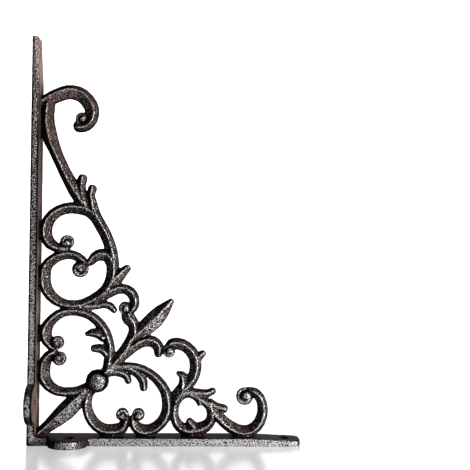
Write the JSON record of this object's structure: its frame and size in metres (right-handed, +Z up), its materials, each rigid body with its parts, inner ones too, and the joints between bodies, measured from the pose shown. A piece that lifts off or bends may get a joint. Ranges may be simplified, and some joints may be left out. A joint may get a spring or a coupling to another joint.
{
  "type": "ornate cast iron shelf bracket",
  "caption": "Right-angled cast iron shelf bracket filled with pierced scrollwork, with a wall strap, a shelf strap and screw lugs near the corner.",
  "frame": {"origin": "middle of the bounding box at the underside of the shelf strap", "axes": "+Z up along the wall strap, +X away from the wall along the shelf strap, -Y towards the side the screw lugs reach out to"},
  "size_m": [0.2, 0.033, 0.3],
  "materials": {
    "cast_iron": "bare antique cast iron, sandy as cast, nearly black with brown rust in the hollows and rubbed grey on the ridges"
  },
  "bodies": {
    "root": {"bracket": "cast_iron"}
  },
  "joints": []
}
